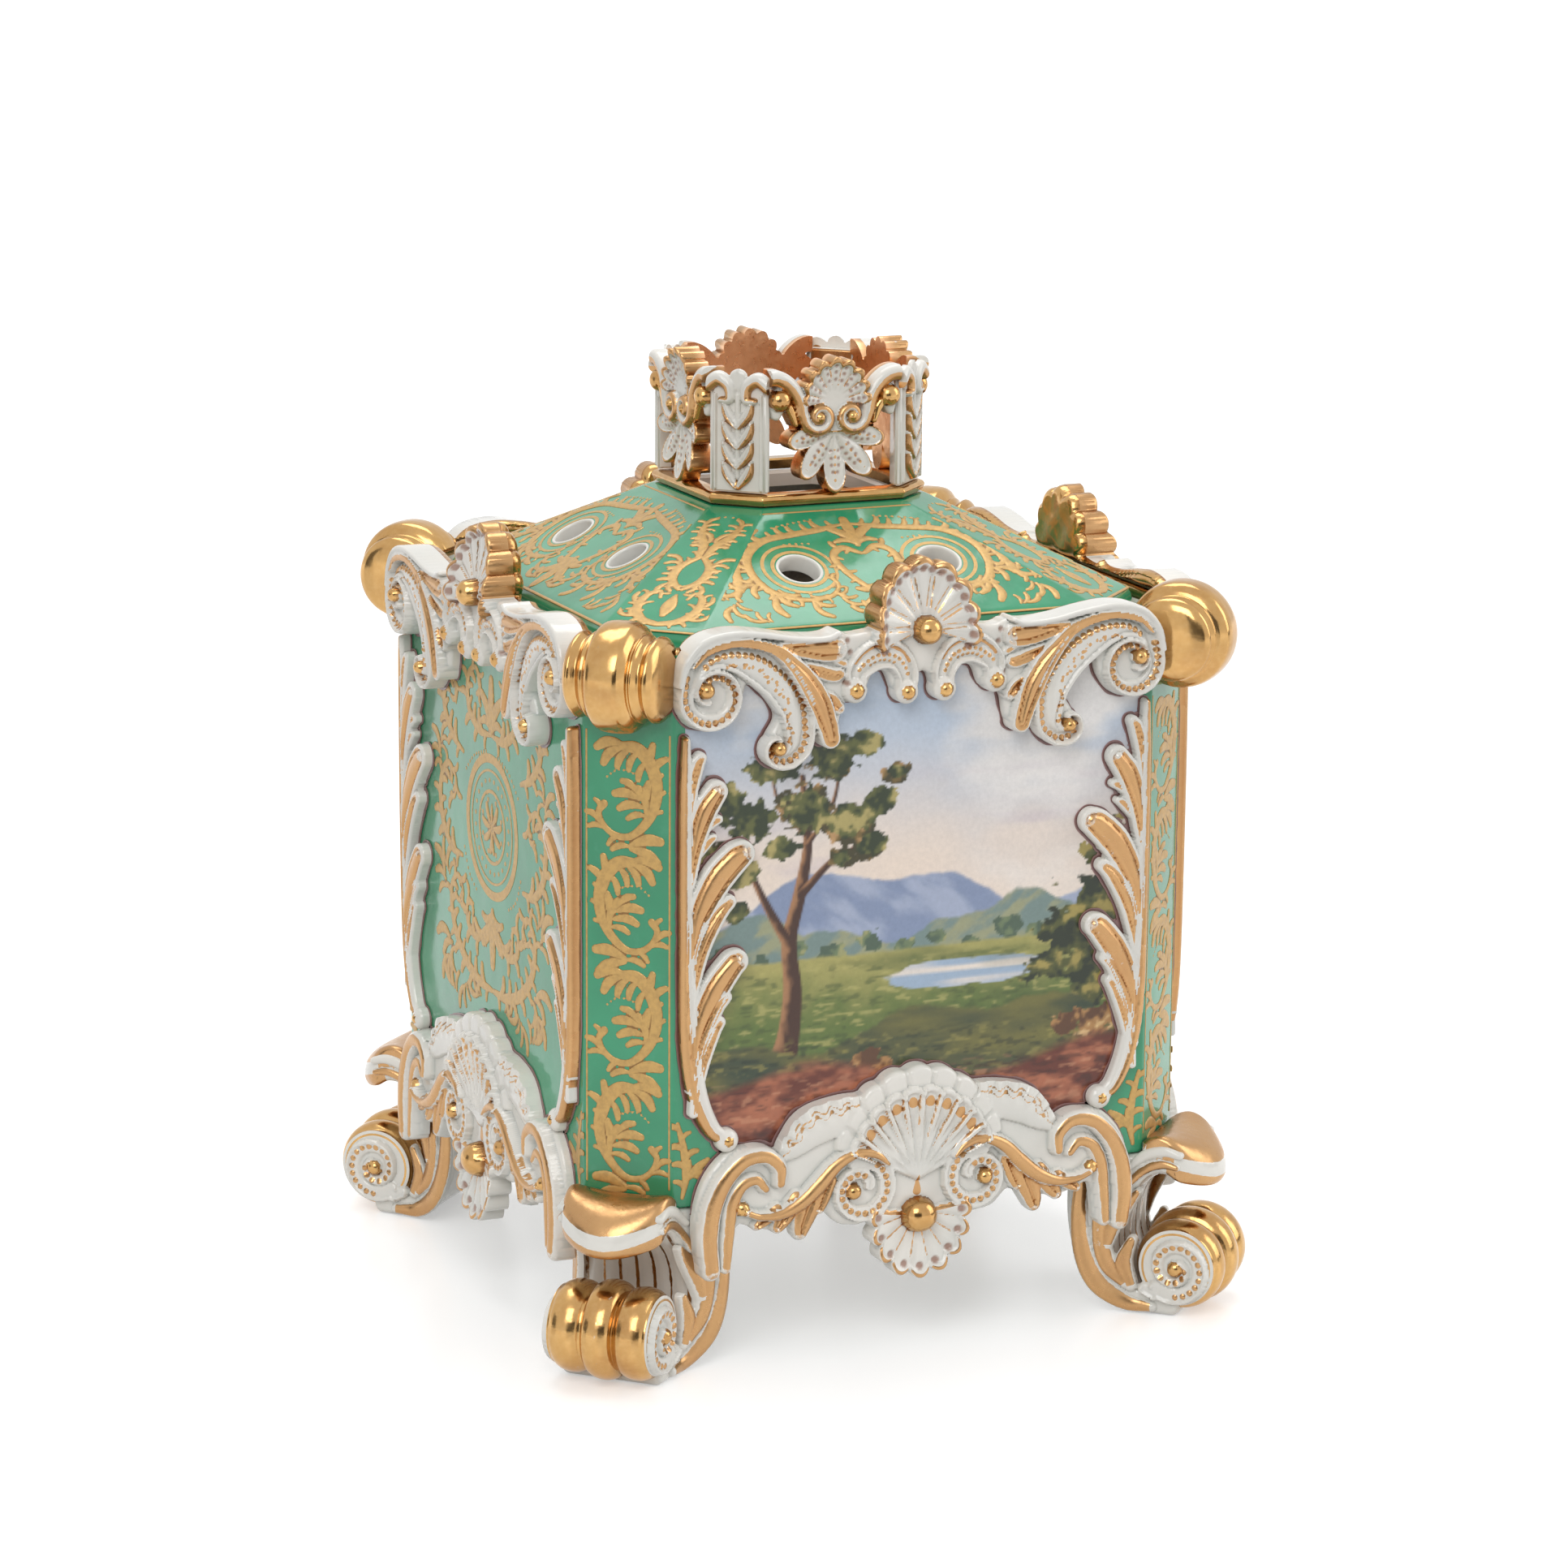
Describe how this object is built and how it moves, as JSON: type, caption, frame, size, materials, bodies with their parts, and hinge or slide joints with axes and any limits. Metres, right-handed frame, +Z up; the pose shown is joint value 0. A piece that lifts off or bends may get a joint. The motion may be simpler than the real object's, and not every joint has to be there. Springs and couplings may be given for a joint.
{
  "type": "pastille burner",
  "caption": "Square porcelain incense box with canted corners, scroll feet, raised shell and scroll mouldings and a lift-off pierced roof with an open crown.",
  "frame": {"origin": "on the surface that the feet stand on, under the middle of the case", "axes": "+Z up, -Y out of the painted front face, +X to the right of someone who looks at that face"},
  "size_m": [0.1228, 0.1228, 0.154],
  "materials": {
    "white_porcelain": "gloss",
    "green_ground": "gloss",
    "gilding": "burnished gilding",
    "painted_panel": "gloss"
  },
  "bodies": {
    "case": {"case_walls": "green_ground", "case_floor": "white_porcelain", "crest_front": "white_porcelain", "crest_right": "white_porcelain", "crest_back": "white_porcelain", "crest_left": "white_porcelain", "apron_front": "white_porcelain", "apron_right": "white_porcelain", "apron_back": "white_porcelain", "apron_left": "white_porcelain", "leaf_strip_left_front": "white_porcelain", "leaf_strip_left_right": "white_porcelain", "leaf_strip_left_back": "white_porcelain", "leaf_strip_left_left": "white_porcelain", "leaf_strip_right_front": "white_porcelain", "leaf_strip_right_right": "white_porcelain", "leaf_strip_right_back": "white_porcelain", "leaf_strip_right_left": "white_porcelain", "foot_front_right": "white_porcelain", "foot_back_right": "white_porcelain", "foot_back_left": "white_porcelain", "foot_front_left": "white_porcelain", "bolster_front_right": "gilding", "bolster_back_right": "gilding", "bolster_back_left": "gilding", "bolster_front_left": "gilding"},
    "cover": {"cover_roof": "green_ground", "cover_flange": "white_porcelain", "crown_ring": "gilding", "crown_panel_front": "white_porcelain", "crown_panel_right": "white_porcelain", "crown_panel_back": "white_porcelain", "crown_panel_left": "white_porcelain", "crown_post_front_right": "white_porcelain", "crown_post_back_right": "white_porcelain", "crown_post_back_left": "white_porcelain", "crown_post_front_left": "white_porcelain"}
  },
  "joints": [
    {"name": "cover_lift", "type": "slide", "parent": "case", "child": "cover", "axis": [0, 0, 1], "range_m": [0, 0.08]}
  ]
}
